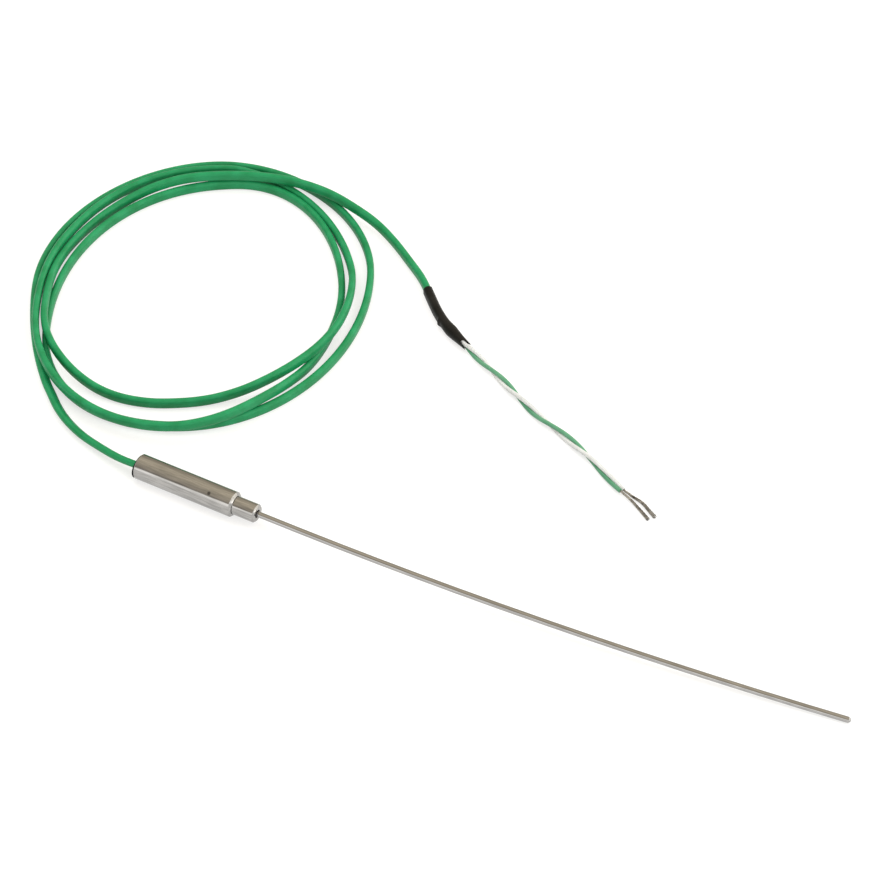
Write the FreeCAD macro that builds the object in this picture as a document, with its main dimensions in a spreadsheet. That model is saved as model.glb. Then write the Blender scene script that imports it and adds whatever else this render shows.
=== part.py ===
import math
import os

import FreeCAD
import Part
import Sketcher

# Driving sizes, in millimetres and degrees
SIZES = {
    "sheath_dia": 1.5,
    "sheath_wall": 0.2,
    "sheath_length": 151.0,
    "sheath_straight": 1.0,
    "sheath_embed": 11.5,
    "tip_wall": 0.9,
    "bow_angle": 8.8,
    "wire_dia": 0.25,
    "wire_spacing": 0.6,
    "bead_dia": 1.0,
    "pot_dia": 6.4,
    "pot_length": 27.2,
    "pot_bore": 5.4,
    "pot_end_wall": 2.7,
    "nose_dia": 4.7,
    "nose_length": 6.0,
    "recess_dia": 2.1,
    "recess_depth": 1.4,
    "braze_back": 0.5,
    "back_bevel": 0.12,
    "shoulder_bevel": 0.6,
    "nose_bevel": 0.4,
    "seal_depth": 1.5,
    "seal_lip": 0.45,
    "seal_thin": 0.08,
    "seal_dia": 6.0,
    "seal_roll": -49.0,
    "cap_length": 0.8,
    "lead_thick": 1.8,
    "lead_width": 2.8,
    "lead_roll": 41.0,
    "lead_embed": 6.0,
    "lay_angle": 28.9,
    "core_dia": 1.05,
    "core_gap": 0.16,
    "strand_dia": 0.6,
    "splice_dia": 0.9,
    "splice_length": 3.5,
    "splice_grip": 1.5,
    "positive_strip": 8.5,
    "negative_strip": 13.5,
    "strip_gap": 0.5,
    "sleeve_wall": 0.25,
    "mouth_wall": 0.2,
    "mouth_notch": 0.75,
    "twist_pitch": 25.0,
    "step_margin": 0.7,
}

# The lie of the lead: right, away and height from the middle of the pot's back end on the floor
LEAD_OUT = [
    (0.0, 0.0, 3.2),
    (-5.4, 3.4, 2.5),
    (-10.1, 7.7, 1.8),
    (-14.9, 12.1, 1.45),
    (-18.9, 17.1, 1.4),
    (-21.7, 22.0, 1.4),
    (-23.7, 27.0, 1.4),
]
TAIL = [
    (51.3, 92.8, 3.2),
    (56.4, 88.4, 3.2),
    (61.2, 82.2, 2.0),
    (65.2, 74.8, 1.5),
    (68.3, 68.6, 1.65),
    (70.4, 61.5, 1.65),
    (72.3, 55.4, 1.65),
    (75.2, 49.6, 1.65),
    (79.2, 43.9, 1.6),
]
SLEEVE_RUN = 4
JACKET_RUN = 6
TWIST_END = (116.5, -5.8, 1.15)
GREEN_TAIL = [(118.9, -9.9, 1.0), (121.0, -12.6, 0.6), (122.6, -15.3, 0.35)]
WHITE_TAIL = [(121.0, -9.3, 0.5), (123.2, -12.4, 0.4), (124.4, -14.5, 0.35)]

# Reaches of the coil's outermost and innermost strands
OUTER_LEFT = (-30.7, 60.0)
OUTER_TOP = (14.5, 113.2)
OUTER_RIGHT = (54.8, 70.2)
OUTER_BOTTOM = (5.7, 12.8)
INNER_LEFT = (-26.6, 49.3)
INNER_TOP = (18.0, 106.0)
INNER_RIGHT = (47.5, 66.0)
INNER_BOTTOM = (4.5, 23.2)
LEFT_FORE_REACH = 54.4

Vector = FreeCAD.Vector
Rotation = FreeCAD.Rotation
Placement = FreeCAD.Placement

doc = FreeCAD.newDocument("probe")
sheet = doc.addObject("Spreadsheet::Sheet", "Sizes")
for row, (alias, value) in enumerate(SIZES.items(), start=1):
    sheet.set(f"A{row}", alias)
    sheet.set(f"B{row}", str(value))
    sheet.setAlias(f"B{row}", alias)
doc.recompute()
size = {alias: float(sheet.get(alias)) for alias in SIZES}

# Positions worked out from the sizes, with X from the pot's back end
pot_r = size["pot_dia"] / 2
sheath_r = size["sheath_dia"] / 2
front = size["pot_length"] + size["nose_length"]
sheath_end = front - size["sheath_embed"]
bend_start = front + size["sheath_straight"]
bow = math.radians(size["bow_angle"])
bend_length = size["sheath_length"] - size["sheath_straight"] - sheath_r
bend_r = bend_length / bow
sag = bend_r * (1 - math.cos(bow))
droop = pot_r - sheath_r
lean = math.asin(min(1.0, droop / sag))
tip_x = bend_start + bend_r * math.sin(bow) + sheath_r
tip_y = sag * math.cos(lean) + sheath_r
middle_x = (tip_x - size["seal_lip"]) / 2
middle_y = (max(pot_r, tip_y) - pot_r) / 2
ORIGIN = Vector(-middle_x, -middle_y, pot_r)

roll = math.radians(size["lead_roll"])
WIDE = Vector(0, -math.sin(roll), math.cos(roll))
ALONG_X = Rotation(Vector(0, 1, 0), 90)
BOW = Rotation(Vector(1, 0, 0), -math.degrees(lean))
cavity_angle = size["bow_angle"] * (bend_length + sheath_r - size["tip_wall"]) / bend_length
wire_angle = size["bow_angle"] * (bend_length + sheath_r - size["tip_wall"] - size["bead_dia"]) / bend_length


def lay(right, away, height):
    turn = math.radians(size["lay_angle"])
    x = right * math.cos(turn) - away * math.sin(turn)
    y = right * math.sin(turn) + away * math.cos(turn)
    return Vector(ORIGIN.x + x, ORIGIN.y + y, height)


# Helpers
def value_of(expression):
    return float(sheet.evalExpression(expression))


def turned(label, corners):
    body = doc.addObject("PartDesign::Body", label)
    body.Label = label
    plane = [f for f in body.Origin.OriginFeatures if f.Role == "XZ_Plane"][0]
    sketch = body.newObject("Sketcher::SketchObject", label + "_outline")
    sketch.AttachmentSupport = (plane, [""])
    sketch.MapMode = "FlatFace"
    points = [Vector(value_of(x), value_of(r), 0) for x, r in corners]
    count = len(points)
    for i in range(count):
        sketch.addGeometry(Part.LineSegment(points[i], points[(i + 1) % count]))
    for i in range(count):
        sketch.addConstraint(Sketcher.Constraint("Coincident", i, 2, (i + 1) % count, 1))
    for i, (x, r) in enumerate(corners):
        if x == "0":
            sketch.addConstraint(Sketcher.Constraint("PointOnObject", i, 1, -2))
        else:
            n = sketch.addConstraint(Sketcher.Constraint("DistanceX", -1, 1, i, 1, points[i].x))
            sketch.setExpression(f"Constraints[{n}]", x)
        n = sketch.addConstraint(Sketcher.Constraint("DistanceY", -1, 1, i, 1, points[i].y))
        sketch.setExpression(f"Constraints[{n}]", r)
    turn = body.newObject("PartDesign::Revolution", label + "_turn")
    turn.Profile = sketch
    turn.ReferenceAxis = (sketch, ["H_Axis"])
    turn.Angle = 360
    body.Placement = Placement(ORIGIN, Rotation())
    return body


def rod(label, radius, start, stop, offset=Vector()):
    item = doc.addObject("Part::Cylinder", label)
    item.Label = label
    item.setExpression("Radius", radius)
    item.setExpression("Height", f"({stop}) - ({start})")
    item.Placement = Placement(ORIGIN + Vector(value_of(start), 0, 0) + offset, ALONG_X)
    return item


def bend(label, radius, angle, offset=Vector()):
    local = BOW.inverted().multVec(offset)
    item = doc.addObject("Part::Torus", label)
    item.Label = label
    item.Radius1 = bend_r - local.y
    item.setExpression("Radius2", radius)
    item.Angle3 = angle
    centre = BOW.multVec(Vector(0, bend_r, local.z))
    place = ORIGIN + Vector(bend_start, 0, 0) + centre
    item.Placement = Placement(place, BOW * Rotation(Vector(0, 0, 1), -90))
    return item


def along_bend(angle):
    a = math.radians(angle)
    point = Vector(bend_r * math.sin(a), bend_r * (1 - math.cos(a)), 0)
    return ORIGIN + Vector(bend_start, 0, 0) + BOW.multVec(point)


def joined(label, shapes):
    item = doc.addObject("Part::MultiFuse", label)
    item.Label = label
    item.Shapes = shapes
    return item


def cut(label, base, tool):
    item = doc.addObject("Part::Cut", label)
    item.Label = label
    item.Base = base
    item.Tool = tool
    return item


def corner(points, i):
    p = points[i]
    back = points[i - 1] - p
    ahead = points[i + 1] - p
    reach = 0.45 * min(back.Length, ahead.Length)
    half = (math.pi - back.getAngle(ahead)) / 2
    return p, back.normalize(), ahead.normalize(), reach, half


def route(points, first=None, last=None):
    # First and last name a run: the route then starts or stops halfway along it
    low = 0 if first is None else first
    high = len(points) - 2 if last is None else last
    here = points[0] if first is None else (points[low] + points[low + 1]) * 0.5
    end = points[-1] if last is None else (points[high] + points[high + 1]) * 0.5
    edges = []
    for i in range(low + 1, high + 1):
        p, back, ahead, reach, half = corner(points, i)
        enter = p + back * reach
        leave = p + ahead * reach
        radius = reach / math.tan(half)
        centre = p + (back + ahead).normalize() * (radius / math.cos(half))
        middle = centre + (p - centre).normalize() * radius
        edges.append(Part.LineSegment(here, enter).toShape())
        edges.append(Part.Arc(enter, middle, leave).toShape())
        here = leave
    edges.append(Part.LineSegment(here, end).toShape())
    return Part.Wire(edges)


def bend_radii(points):
    radii = []
    for i in range(1, len(points) - 1):
        p, back, ahead, reach, half = corner(points, i)
        radii.append(round(reach / math.tan(half), 1))
    return radii


def facing(tangent, wide):
    side = wide.cross(tangent).normalize()
    return Rotation(side, tangent.cross(side), tangent, "ZXY")


def oval(label, thick, width, place, tangent, wide):
    sketch = doc.addObject("Sketcher::SketchObject", label)
    sketch.Label = label
    r = value_of(thick) / 2
    h = value_of(width) / 2 - r
    up = Vector(0, 0, 1)
    top = Part.Circle(Vector(0, h, 0), up, r)
    low = Part.Circle(Vector(0, -h, 0), up, r)
    sketch.addGeometry(Part.ArcOfCircle(top, 0, math.pi))
    sketch.addGeometry(Part.LineSegment(Vector(-r, h, 0), Vector(-r, -h, 0)))
    sketch.addGeometry(Part.ArcOfCircle(low, math.pi, 2 * math.pi))
    sketch.addGeometry(Part.LineSegment(Vector(r, -h, 0), Vector(r, h, 0)))
    for i in range(4):
        sketch.addConstraint(Sketcher.Constraint("Tangent", i, 2, (i + 1) % 4, 1))
    sketch.addConstraint(Sketcher.Constraint("PointOnObject", 0, 3, -2))
    sketch.addConstraint(Sketcher.Constraint("Symmetric", 0, 3, 2, 3, -1, 1))
    n = sketch.addConstraint(Sketcher.Constraint("Radius", 0, r))
    sketch.setExpression(f"Constraints[{n}]", f"({thick}) / 2")
    n = sketch.addConstraint(Sketcher.Constraint("DistanceY", 2, 3, 0, 3, 2 * h))
    sketch.setExpression(f"Constraints[{n}]", f"({width}) - ({thick})")
    sketch.Placement = Placement(place, facing(tangent, wide))
    return sketch


def round_section(label, radius, place, tangent):
    item = doc.addObject("Part::Circle", label)
    item.Label = label
    item.setExpression("Radius", radius)
    item.Placement = Placement(place, Rotation(Vector(0, 0, 1), tangent))
    return item


def swept(label, section, wire):
    path = doc.addObject("Part::Feature", label + "_path")
    path.Shape = wire
    item = doc.addObject("Part::Sweep", label)
    item.Label = label
    item.Sections = [section]
    item.Spine = (path, [f"Edge{i + 1}" for i in range(len(wire.Edges))])
    item.Solid = True
    item.Frenet = False
    return item


def outward(wire):
    edge = wire.Edges[0]
    return edge.valueAt(edge.FirstParameter), edge.tangentAt(edge.FirstParameter)


def inward(wire):
    edge = wire.Edges[-1]
    return edge.valueAt(edge.LastParameter), edge.tangentAt(edge.LastParameter)


# Metal sheath with its powder, wires and welded junction
XE = "(Sizes.pot_length + Sizes.nose_length)"
MI_END = f"({XE} - Sizes.sheath_embed)"
STRAIGHT_END = f"({XE} + Sizes.sheath_straight)"
BORE_R = "(Sizes.sheath_dia / 2 - Sizes.sheath_wall)"
POSITIVE_SPLICE = "(Sizes.positive_strip + Sizes.strip_gap)"
NEGATIVE_SPLICE = "(Sizes.negative_strip + Sizes.strip_gap)"
POSITIVE_WIRE = f"({POSITIVE_SPLICE} + Sizes.splice_length - Sizes.splice_grip)"
NEGATIVE_WIRE = f"({NEGATIVE_SPLICE} + Sizes.splice_length - Sizes.splice_grip)"
WIRE_R = "Sizes.wire_dia / 2"
wire_offset = WIDE * (size["wire_spacing"] / 2)

sheath_rod = rod("sheath_rod", "Sizes.sheath_dia / 2", MI_END, STRAIGHT_END)
sheath_bend = bend("sheath_bend", "Sizes.sheath_dia / 2", size["bow_angle"])
tip = doc.addObject("Part::Sphere", "sheath_tip")
tip.setExpression("Radius", "Sizes.sheath_dia / 2")
tip.Placement = Placement(along_bend(size["bow_angle"]), BOW * Rotation(Vector(0, 0, 1), size["bow_angle"]) * ALONG_X)
sheath_outside = joined("sheath_outside", [sheath_rod, sheath_bend, tip])
cavity_rod = rod("cavity_rod", BORE_R, MI_END, STRAIGHT_END)
cavity_bend = bend("cavity_bend", BORE_R, cavity_angle)
cavity = joined("sheath_cavity", [cavity_rod, cavity_bend])
sheath = cut("sheath", sheath_outside, cavity)

positive_rod = rod("positive_rod", WIRE_R, POSITIVE_WIRE, STRAIGHT_END, wire_offset)
positive_bend = bend("positive_bend", WIRE_R, wire_angle, wire_offset)
thermo_positive = joined("thermoelement_positive", [positive_rod, positive_bend])
negative_rod = rod("negative_rod", WIRE_R, NEGATIVE_WIRE, STRAIGHT_END, wire_offset * -1)
negative_bend = bend("negative_bend", WIRE_R, wire_angle, wire_offset * -1)
thermo_negative = joined("thermoelement_negative", [negative_rod, negative_bend])

bead = doc.addObject("Part::Sphere", "hot_junction")
bead.Label = "hot_junction"
bead.setExpression("Radius", "Sizes.bead_dia / 2")
bead.Angle1 = 0
bead.Angle2 = 90
bead.Placement = Placement(along_bend(wire_angle), BOW * Rotation(Vector(0, 0, 1), wire_angle) * ALONG_X)
powder_bores = joined("powder_bores", [thermo_positive, thermo_negative, bead])
powder = cut("mgo_insulation", cavity, powder_bores)

cap_blank = rod("cap_blank", "Sizes.sheath_dia / 2", f"{MI_END} - Sizes.cap_length", MI_END)
both_wires = joined("both_wires", [thermo_positive, thermo_negative])
cap = cut("mi_end_seal", cap_blank, both_wires)

# Stepped steel pot, open at the back, with a recess round the sheath in its nose
pot = turned("pot_body", [
    ("0", "Sizes.pot_bore / 2"),
    ("0", "Sizes.pot_dia / 2 - Sizes.back_bevel"),
    ("Sizes.back_bevel", "Sizes.pot_dia / 2"),
    ("Sizes.pot_length - Sizes.shoulder_bevel", "Sizes.pot_dia / 2"),
    ("Sizes.pot_length", "Sizes.pot_dia / 2 - Sizes.shoulder_bevel"),
    ("Sizes.pot_length", "Sizes.nose_dia / 2"),
    (f"{XE} - Sizes.nose_bevel", "Sizes.nose_dia / 2"),
    (XE, "Sizes.nose_dia / 2 - Sizes.nose_bevel"),
    (XE, "Sizes.recess_dia / 2"),
    (f"{XE} - Sizes.recess_depth", "Sizes.recess_dia / 2"),
    (f"{XE} - Sizes.recess_depth", "Sizes.sheath_dia / 2"),
    ("Sizes.pot_length - Sizes.pot_end_wall", "Sizes.sheath_dia / 2"),
    ("Sizes.pot_length - Sizes.pot_end_wall", "Sizes.pot_bore / 2"),
])

# Braze between the sheath and the nose, sunk below the nose's face
braze = turned("braze_ring", [
    (f"{XE} - Sizes.recess_depth", "Sizes.sheath_dia / 2"),
    (f"{XE} - Sizes.recess_depth", "Sizes.recess_dia / 2"),
    (f"{XE} - Sizes.braze_back", "Sizes.recess_dia / 2"),
    (f"{XE} - Sizes.braze_back - Sizes.recess_dia / 16", "(Sizes.sheath_dia + Sizes.recess_dia) / 4"),
    (f"{XE} - Sizes.braze_back", "Sizes.sheath_dia / 2"),
])

# Lead from inside the pot to the coil
into_pot = ORIGIN + Vector(size["lead_embed"], 0, 0)
lead_points = [into_pot] + [lay(a, d, z) for a, d, z in LEAD_OUT]
lead_points[1].z = ORIGIN.z
lead_wire = route(lead_points)
lead_place, lead_way = outward(lead_wire)
lead_section = oval("lead_section", "Sizes.lead_thick", "Sizes.lead_width", lead_place, lead_way, WIDE)
lead_start = swept("lead_start", lead_section, lead_wire)

# Cores, conductors and crimps inside the pot
core_offset = WIDE * ((size["core_dia"] + size["core_gap"]) / 2)
CORE_R = "Sizes.core_dia / 2"
STRAND_R = "Sizes.strand_dia / 2"
pot_green = rod("pot_core_green", CORE_R, "Sizes.lead_embed", "Sizes.positive_strip", core_offset)
pot_white = rod("pot_core_white", CORE_R, "Sizes.lead_embed", "Sizes.negative_strip", core_offset * -1)
positive_grip = f"{POSITIVE_SPLICE} + Sizes.splice_grip"
negative_grip = f"{NEGATIVE_SPLICE} + Sizes.splice_grip"
pot_positive = rod("pot_conductor_positive", STRAND_R, "Sizes.positive_strip", positive_grip, core_offset)
pot_negative = rod("pot_conductor_negative", STRAND_R, "Sizes.negative_strip", negative_grip, core_offset * -1)
SPLICE_R = "Sizes.splice_dia / 2"
positive_stop = f"{POSITIVE_SPLICE} + Sizes.splice_length"
negative_stop = f"{NEGATIVE_SPLICE} + Sizes.splice_length"
splice_p = rod("splice_positive_blank", SPLICE_R, POSITIVE_SPLICE, positive_stop, core_offset)
splice_n = rod("splice_negative_blank", SPLICE_R, NEGATIVE_SPLICE, negative_stop, core_offset * -1)
holes_p = joined("splice_positive_holes", [pot_positive, thermo_positive])
holes_n = joined("splice_negative_holes", [pot_negative, thermo_negative])
splice_positive = cut("splice_positive", splice_p, holes_p)
splice_negative = cut("splice_negative", splice_n, holes_n)

# Potting compound round everything inside the pot
potting_blank = rod(
    "potting_blank", "Sizes.pot_bore / 2", "Sizes.seal_depth", "Sizes.pot_length - Sizes.pot_end_wall"
)
inside = joined("potted_pieces", [
    lead_start, pot_green, pot_white, pot_positive, pot_negative,
    splice_p, splice_n, thermo_positive, thermo_negative, cap_blank, sheath_outside,
])
potting = cut("potting", potting_blank, inside)

# Black seal in the pot's back end, its outside face leaning so that it is thicker low down
plug = rod("seal_plug", "Sizes.pot_bore / 2", "0", "Sizes.seal_depth")
lip = rod("seal_lip_disc", "Sizes.seal_dia / 2", "-Sizes.seal_lip", "0")
slope = math.atan((size["seal_lip"] - size["seal_thin"]) / size["seal_dia"])
shave = doc.addObject("Part::Box", "seal_shave")
shave.setExpression("Length", "Sizes.pot_dia")
shave.setExpression("Width", "Sizes.pot_dia * 2")
shave.setExpression("Height", "Sizes.pot_dia * 2")
shave_turn = Rotation(Vector(1, 0, 0), size["seal_roll"]) * Rotation(Vector(0, 1, 0), math.degrees(slope))
shave_corner = shave_turn.multVec(Vector(-size["pot_dia"], -size["pot_dia"], -size["pot_dia"]))
shave_middle = Vector(-(size["seal_lip"] + size["seal_thin"]) / 2, 0, 0)
shave.Placement = Placement(ORIGIN + shave_middle + shave_corner, shave_turn)
seal_disc = joined("seal_disc", [plug, lip])
seal_room = joined("seal_room", [shave, lead_start])
end_seal = cut("end_seal", seal_disc, seal_room)

# Coil: one closed ring of the coil's outside shape, with a step where each end of the lead joins
half = size["lead_thick"] / 2


def ring_arc(reach, other, centre):
    a = abs(reach[0] - centre[0])
    b = abs(reach[1] - centre[1])
    if a == 0:
        a = abs(other[0] - centre[0]) / math.sqrt(1 - ((other[1] - centre[1]) / b) ** 2)
    else:
        b = abs(other[1] - centre[1]) / math.sqrt(1 - ((other[0] - centre[0]) / a) ** 2)
    middle = Vector(centre[0], centre[1], 0)
    if a >= b:
        curve = Part.Ellipse(middle + Vector(a, 0, 0), middle + Vector(0, b, 0), middle)
    else:
        curve = Part.Ellipse(middle + Vector(0, b, 0), middle + Vector(-a, 0, 0), middle)
    t0 = curve.parameter(Vector(reach[0], reach[1], 0))
    t1 = curve.parameter(Vector(other[0], other[1], 0))
    low, high = min(t0, t1), max(t0, t1)
    if high - low > math.pi:
        low, high = high, low + 2 * math.pi
    return Part.ArcOfEllipse(curve, low, high).toShape()


def step_corners(before, end, margin):
    way = Vector(end[0] - before[0], end[1] - before[1], 0).normalize()
    near = Vector(-way.y, way.x, 0) * half
    far = Vector(way.y, -way.x, 0) * (half + margin)
    return (end[0] + near.x, end[1] + near.y), (end[0] + far.x, end[1] + far.y)


def line(p, q):
    return Part.LineSegment(Vector(p[0], p[1], 0), Vector(q[0], q[1], 0)).toShape()


left = (OUTER_LEFT[0] - half, OUTER_LEFT[1])
top = (OUTER_TOP[0], OUTER_TOP[1] + half)
right = (OUTER_RIGHT[0] + half, OUTER_RIGHT[1])
bottom = (OUTER_BOTTOM[0], OUTER_BOTTOM[1] - half)
lead_out, lead_in = step_corners(LEAD_OUT[-2], LEAD_OUT[-1], size["step_margin"])
tail_in, tail_out = step_corners(TAIL[1], TAIL[0], 0.0)
outer_ring = Part.Wire(Part.sortEdges([
    ring_arc(left, lead_out, (bottom[0], left[1])),
    ring_arc(left, top, (top[0], left[1])),
    ring_arc(top, tail_out, (top[0], right[1] - 12.8)),
    line(tail_out, tail_in),
    ring_arc(right, tail_in, (top[0], right[1])),
    ring_arc(right, bottom, (bottom[0], right[1])),
    ring_arc(bottom, lead_in, (bottom[0], LEFT_FORE_REACH)),
    line(lead_in, lead_out),
])[0])
left = (INNER_LEFT[0] + half, INNER_LEFT[1])
top = (INNER_TOP[0], INNER_TOP[1] - half)
right = (INNER_RIGHT[0] - half, INNER_RIGHT[1])
bottom = (INNER_BOTTOM[0], INNER_BOTTOM[1] + half)
inner_ring = Part.Wire(Part.sortEdges([
    ring_arc(left, top, (top[0], left[1])),
    ring_arc(right, top, (top[0], right[1])),
    ring_arc(right, bottom, (bottom[0], right[1])),
    ring_arc(left, bottom, (bottom[0], left[1])),
])[0])
outer_face = doc.addObject("Part::Feature", "coil_outside")
outer_face.Shape = Part.Face(outer_ring)
inner_face = doc.addObject("Part::Feature", "coil_inside")
inner_face.Shape = Part.Face(inner_ring)
blanks = []
for face in (outer_face, inner_face):
    blank = doc.addObject("Part::Extrusion", face.Name + "_block")
    blank.Base = face
    blank.DirMode = "Custom"
    blank.Dir = Vector(0, 0, 1)
    blank.setExpression("LengthFwd", "Sizes.lead_width * 2")
    blank.Solid = True
    blank.Placement = Placement(
        Vector(ORIGIN.x, ORIGIN.y, 0), Rotation(Vector(0, 0, 1), size["lay_angle"])
    )
    blanks.append(blank)
coil = cut("lead_coil", blanks[0], blanks[1])

# Lead from the coil to the end of its jacket, and the shrink sleeve over that end
UP = Vector(0, 0, 1)
tail_points = [lay(a, d, z) for a, d, z in TAIL]
tail_wire = route(tail_points, None, JACKET_RUN)
tail_place, tail_way = outward(tail_wire)
tail_section = oval("tail_section", "Sizes.lead_thick", "Sizes.lead_width", tail_place, tail_way, UP)
lead_tail = swept("lead_tail", tail_section, tail_wire)

SLEEVE_THICK = "Sizes.lead_thick + 2 * Sizes.sleeve_wall"
SLEEVE_WIDTH = "Sizes.lead_width + 2 * Sizes.sleeve_wall"
PAIR_THICK = "Sizes.core_dia + Sizes.core_gap"
PAIR_WIDTH = "2 * Sizes.core_dia + 2 * Sizes.core_gap"
MOUTH_THICK = f"{PAIR_THICK} + 2 * Sizes.mouth_wall"
MOUTH_WIDTH = f"{PAIR_WIDTH} + 2 * Sizes.mouth_wall"
over_wire = route(tail_points, SLEEVE_RUN, JACKET_RUN)
over_place, over_way = outward(over_wire)
over_section = oval("sleeve_section", SLEEVE_THICK, SLEEVE_WIDTH, over_place, over_way, UP)
sleeve_over = swept("sleeve_over", over_section, over_wire)
pair_wire = route(tail_points, JACKET_RUN)
pair_place, pair_way = outward(pair_wire)
mouth_place, mouth_way = inward(pair_wire)
neck_place = tail_points[-2] * 0.6 + tail_points[-1] * 0.4
taper_sections = [
    oval("taper_start", SLEEVE_THICK, SLEEVE_WIDTH, pair_place, pair_way, UP),
    oval(
        "taper_neck", f"(({SLEEVE_THICK}) + ({MOUTH_THICK})) / 2",
        f"(({SLEEVE_WIDTH}) + ({MOUTH_WIDTH})) / 2", neck_place, mouth_way, UP,
    ),
    oval("taper_mouth", MOUTH_THICK, MOUTH_WIDTH, mouth_place, mouth_way, UP),
]
taper = doc.addObject("Part::Loft", "sleeve_taper")
taper.Sections = taper_sections
taper.Solid = True
taper.Ruled = False
pair_section = oval("pair_section", PAIR_THICK, PAIR_WIDTH, pair_place, pair_way, UP)
pair_room = swept("pair_room", pair_section, pair_wire)
notch = doc.addObject("Part::Cylinder", "mouth_notch")
notch.setExpression("Radius", "Sizes.mouth_notch")
notch.setExpression("Height", "Sizes.pot_dia")
across = UP.cross(mouth_way).normalize()
notch_place = mouth_place + mouth_way * (size["mouth_notch"] * 0.35) - across * pot_r
notch.Placement = Placement(notch_place, Rotation(UP, across))
sleeve_blank = joined("sleeve_blank", [sleeve_over, taper])
sleeve_room = joined("sleeve_room", [lead_tail, pair_room, notch])
sleeve = cut("shrink_sleeve", sleeve_blank, sleeve_room)

# Twisted cores from the end of the jacket, through the sleeve, to the bare ends
twist_r = (size["core_dia"] + size["core_gap"]) / 2
twist_start = tail_points[-1]
twist_stop = lay(*TWIST_END)
twist_way = twist_stop - twist_start
twist_length = twist_way.Length
twist_way.normalize()
twist_side = UP.cross(twist_way).normalize()
twist_steps = max(6, round(twist_length / size["twist_pitch"] * 6))


def core_points(phase):
    lift = UP * (twist_r if phase == 0 else -twist_r)
    points = [pair_place + lift, tail_points[-2] + lift]
    for k in range(twist_steps + 1):
        along = twist_length * k / twist_steps
        angle = math.radians(phase) + 2 * math.pi * along / size["twist_pitch"]
        drop = min(1.0, along / 10.0)
        middle = twist_start + twist_way * along
        middle.z = twist_start.z + (twist_stop.z - twist_start.z) * drop
        points.append(middle + (UP * math.cos(angle) + twist_side * math.sin(angle)) * twist_r)
    return points


cords = {"lead_start": lead_points, "lead_tail": tail_points}
ends = {}
for label, phase in (("core_white", 0), ("core_green", 180)):
    points = core_points(phase)
    cords[label] = points
    wire = route(points)
    place, way = outward(wire)
    swept(label, round_section(label + "_section", CORE_R, place, way), wire)
    ends[label] = inward(wire)

# Bare stranded ends
for label, core, tail in (
    ("conductor_negative", "core_white", WHITE_TAIL), ("conductor_positive", "core_green", GREEN_TAIL)
):
    place, way = ends[core]
    points = [place, place + way * (3 * size["strand_dia"])] + [lay(a, d, z) for a, d, z in tail]
    cords[label] = points
    wire = route(points)
    start, way = outward(wire)
    swept(label, round_section(label + "_section", STRAND_R, start, way), wire)

# Check and write the pieces
NODES = [
    "sheath", "mgo_insulation", "thermoelement_positive", "thermoelement_negative", "hot_junction",
    "mi_end_seal", "braze_ring", "pot_body", "potting", "end_seal",
    "pot_core_green", "pot_core_white", "pot_conductor_positive", "pot_conductor_negative",
    "splice_positive", "splice_negative", "lead_start", "lead_coil", "lead_tail", "shrink_sleeve",
    "core_green", "core_white", "conductor_positive", "conductor_negative",
]
doc.recompute()
for item in doc.Objects:
    if "Invalid" in item.State or "Error" in item.State:
        raise RuntimeError(f"{item.Label} did not build")
os.makedirs("parts", exist_ok=True)
for node in NODES:
    shape = doc.getObject(node).Shape
    if shape.isNull() or not shape.isValid() or len(shape.Solids) != 1:
        raise RuntimeError(f"{node} is not one sound solid")
    shape.exportStep(f"parts/{node}.step")
    box = shape.BoundBox
    print(node, round(shape.Volume, 3), [round(v, 2) for v in (
        box.XMin, box.XMax, box.YMin, box.YMax, box.ZMin, box.ZMax
    )])
for label, points in cords.items():
    print(label, "bend radii", bend_radii(points))
r = size["lead_thick"] / 2
section = math.pi * r * r + size["lead_thick"] * (size["lead_width"] - size["lead_thick"])
for label, wire in (("lead_start", lead_wire), ("lead_tail", tail_wire)):
    print(label, "section times length", round(section * wire.Length, 3), "length", round(wire.Length, 1))
print("origin", ORIGIN, "tip", tip_x, "lean", math.degrees(lean), "bend radius", bend_r)
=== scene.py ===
import math

import bmesh
import bpy
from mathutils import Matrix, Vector


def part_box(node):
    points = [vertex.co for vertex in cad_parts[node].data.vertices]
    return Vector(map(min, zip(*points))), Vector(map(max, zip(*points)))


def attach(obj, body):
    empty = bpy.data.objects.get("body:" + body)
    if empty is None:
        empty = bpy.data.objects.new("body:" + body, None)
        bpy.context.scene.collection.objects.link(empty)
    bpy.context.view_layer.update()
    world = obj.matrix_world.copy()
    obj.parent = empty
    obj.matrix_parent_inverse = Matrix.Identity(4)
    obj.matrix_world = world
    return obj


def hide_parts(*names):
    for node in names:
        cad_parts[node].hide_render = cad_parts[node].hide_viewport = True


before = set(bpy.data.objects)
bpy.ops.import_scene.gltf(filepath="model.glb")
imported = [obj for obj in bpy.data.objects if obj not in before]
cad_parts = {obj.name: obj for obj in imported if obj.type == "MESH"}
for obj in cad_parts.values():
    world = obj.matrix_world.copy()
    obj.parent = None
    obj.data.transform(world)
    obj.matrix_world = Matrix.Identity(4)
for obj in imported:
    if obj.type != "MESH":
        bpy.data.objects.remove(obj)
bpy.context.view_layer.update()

MM = 0.001
UP = Vector((0, 0, 1))

# The pot's back end, the angle that the photograph's own right makes with the pot's axis, and that right
# and the way away from the camera as directions over the floor
pot_low, pot_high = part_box("pot_body")
BACK = Vector((pot_low.x, (pot_low.y + pot_high.y) / 2, (pot_low.z + pot_high.z) / 2))
LAY_ANGLE = math.radians(28.9)
RIGHT = Vector((math.cos(LAY_ANGLE), math.sin(LAY_ANGLE), 0))
FAR = Vector((-math.sin(LAY_ANGLE), math.cos(LAY_ANGLE), 0))


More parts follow.
